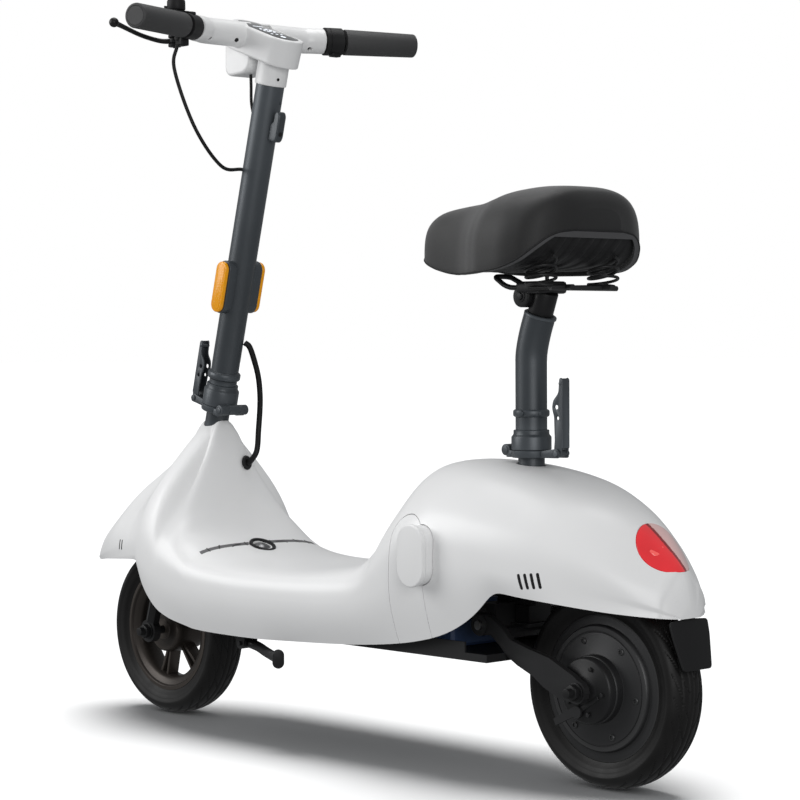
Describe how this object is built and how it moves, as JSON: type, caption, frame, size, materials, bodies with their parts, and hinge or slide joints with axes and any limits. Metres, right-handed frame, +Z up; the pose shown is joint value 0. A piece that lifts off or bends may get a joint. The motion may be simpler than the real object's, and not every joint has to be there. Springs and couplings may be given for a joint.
{
  "type": "electric scooter",
  "caption": "Seated electric scooter with a moulded body and footboard, hub-motor rear wheel, folding stem and folding padded seat on a post.",
  "frame": {"origin": "bottom centre of the bounding box, on the ground between the wheels", "axes": "+X forwards to the front wheel, +Y to the rider's left, +Z up"},
  "size_m": [1.1825, 0.532, 1.0414],
  "materials": {
    "white_plastic": "satin white moulding",
    "slate_paint": "satin slate grey paint",
    "black_plastic": "matt black moulding",
    "black_steel": "black powder coat",
    "rubber": "black rubber",
    "tyre_rubber": "black tyre rubber",
    "grip_rubber": "grey soft grip",
    "mat_rubber": "grey ribbed mat",
    "vinyl": "fine-grained charcoal vinyl",
    "rim_alloy": "dark bronze satin",
    "motor_alloy": "black satin casting",
    "steel": "zinc plate",
    "amber_lens": "amber reflector",
    "red_lens": "red lens",
    "clear_lens": "clear lens",
    "display_glass": "black glossy window",
    "cell_wrap": "blue shrink wrap"
  },
  "bodies": {
    "frame": {"main_frame": "black_steel", "front_shell": "white_plastic", "rear_shell": "white_plastic", "side_cover_left": "white_plastic", "side_cover_right": "white_plastic", "side_bumper_left": "white_plastic", "side_bumper_right": "white_plastic", "deck_mat": "mat_rubber", "battery_tray": "black_plastic", "battery_pack": "cell_wrap", "motor_controller": "motor_alloy", "tail_lamp": "red_lens", "mudflap": "black_plastic", "cable_grommet": "black_plastic", "main_cable": "rubber", "kickstand_bracket": "black_steel", "seat_base": "slate_paint", "seat_hinge_pin": "steel", "swingarm_pin": "steel", "suspension_block": "rubber"},
    "steering": {"fork": "black_steel", "front_axle": "steel", "stem_base": "slate_paint", "stem_hinge_pin": "steel"},
    "front_wheel": {"front_tyre": "tyre_rubber", "front_rim": "rim_alloy"},
    "stem": {"stem_collar": "slate_paint", "stem_tube": "slate_paint", "bag_hook": "slate_paint", "reflector_left": "amber_lens", "reflector_right": "amber_lens", "handlebar": "black_steel", "head_housing": "white_plastic", "display": "display_glass", "headlamp": "clear_lens", "grip_left": "grip_rubber", "throttle_housing": "black_plastic", "brake_perch": "black_plastic", "bell": "black_plastic", "brake_cable": "rubber"},
    "stem_lever": {"stem_latch": "slate_paint"},
    "brake_handle": {"brake_lever": "black_steel"},
    "throttle": {"throttle_grip": "grip_rubber"},
    "horn": {"horn_button": "black_plastic"},
    "striker": {"bell_striker": "black_plastic"},
    "swing": {"swingarm": "black_steel", "rear_axle": "steel", "brake_plate": "black_steel"},
    "rear_wheel": {"rear_tyre": "tyre_rubber", "hub_motor": "motor_alloy"},
    "brake_lug": {"brake_arm": "black_steel"},
    "seat": {"seat_collar": "slate_paint", "seat_post": "slate_paint", "seat_clamp": "black_steel", "saddle_rails": "black_steel", "saddle": "vinyl", "saddle_pan": "black_plastic"},
    "seat_lever": {"seat_latch": "slate_paint"},
    "kickstand": {"kickstand_leg": "black_steel"},
    "lock": {"lock_core": "steel"}
  },
  "joints": [
    {"name": "steering_turn", "type": "hinge", "parent": "frame", "child": "steering", "pos_m": [0.4093, 0, 0.127], "axis": [-0.2538, 0, 0.9673], "range_deg": [-35, 35]},
    {"name": "front_wheel_spin", "type": "hinge", "parent": "steering", "child": "front_wheel", "pos_m": [0.4226, 0, 0.127], "axis": [0, 1, 0], "continuous": true},
    {"name": "stem_fold", "type": "hinge", "parent": "steering", "child": "stem", "pos_m": [0.29056, 0, 0.45904], "axis": [0, -1, 0], "range_deg": [0, 30], "deforming": ["main_cable"]},
    {"name": "stem_latch_turn", "type": "hinge", "parent": "steering", "child": "stem_lever", "pos_m": [0.36852, 0, 0.47949], "axis": [0, 1, 0], "range_deg": [0, 75]},
    {"name": "brake_lever_pull", "type": "hinge", "parent": "stem", "child": "brake_handle", "pos_m": [0.24575, 0.1367, 0.985], "axis": [0, 0, 1], "range_deg": [0, 18], "stiffness_Nm_per_rad": 0.8, "springref_deg": -17.19},
    {"name": "throttle_twist", "type": "hinge", "parent": "stem", "child": "throttle", "pos_m": [0.19205, -0.20425, 1.003], "axis": [-0.311, -0.9504, 0], "range_deg": [0, 60], "stiffness_Nm_per_rad": 0.15, "springref_deg": -17.19},
    {"name": "horn_press", "type": "slide", "parent": "stem", "child": "horn", "axis": [0, 0, -1], "range_m": [0, 0.0018], "stiffness_N_per_m": 600, "springref_m": -0.001},
    {"name": "bell_striker_flick", "type": "hinge", "parent": "stem", "child": "striker", "pos_m": [0.23575, 0.1502, 1.0279], "axis": [0, 0, -1], "range_deg": [0, 30], "stiffness_Nm_per_rad": 0.01, "springref_deg": -17.19},
    {"name": "swingarm_travel", "type": "hinge", "parent": "frame", "child": "swing", "pos_m": [-0.2897, 0, 0.196], "axis": [0, 1, 0], "range_deg": [0, 4], "stiffness_Nm_per_rad": 600, "springref_deg": -2.86, "deforming": ["suspension_block"]},
    {"name": "rear_wheel_spin", "type": "hinge", "parent": "swing", "child": "rear_wheel", "pos_m": [-0.4557, 0, 0.127], "axis": [0, 1, 0], "continuous": true},
    {"name": "brake_arm_turn", "type": "hinge", "parent": "swing", "child": "brake_lug", "pos_m": [-0.4457, 0.0588, 0.1], "axis": [0, 1, 0], "range_deg": [0, 15]},
    {"name": "seat_fold", "type": "hinge", "parent": "frame", "child": "seat", "pos_m": [-0.2852, 0, 0.4185], "axis": [0, 1, 0], "range_deg": [0, 80]},
    {"name": "seat_latch_turn", "type": "hinge", "parent": "frame", "child": "seat_lever", "pos_m": [-0.3672, 0, 0.4185], "axis": [0, -1, 0], "range_deg": [0, 75]},
    {"name": "kickstand_swing", "type": "hinge", "parent": "frame", "child": "kickstand", "pos_m": [0.1503, 0.092, 0.137], "axis": [0, -1, 0], "range_deg": [0, 72]},
    {"name": "lock_turn", "type": "hinge", "parent": "frame", "child": "lock", "pos_m": [0.2243, 0, 0.2605], "axis": [-0.3746, 0, 0.9272], "range_deg": [0, 90]}
  ],
  "couplings": [
    {"joint": "brake_arm_turn", "follows": "brake_lever_pull", "ratio": 0.8}
  ]
}
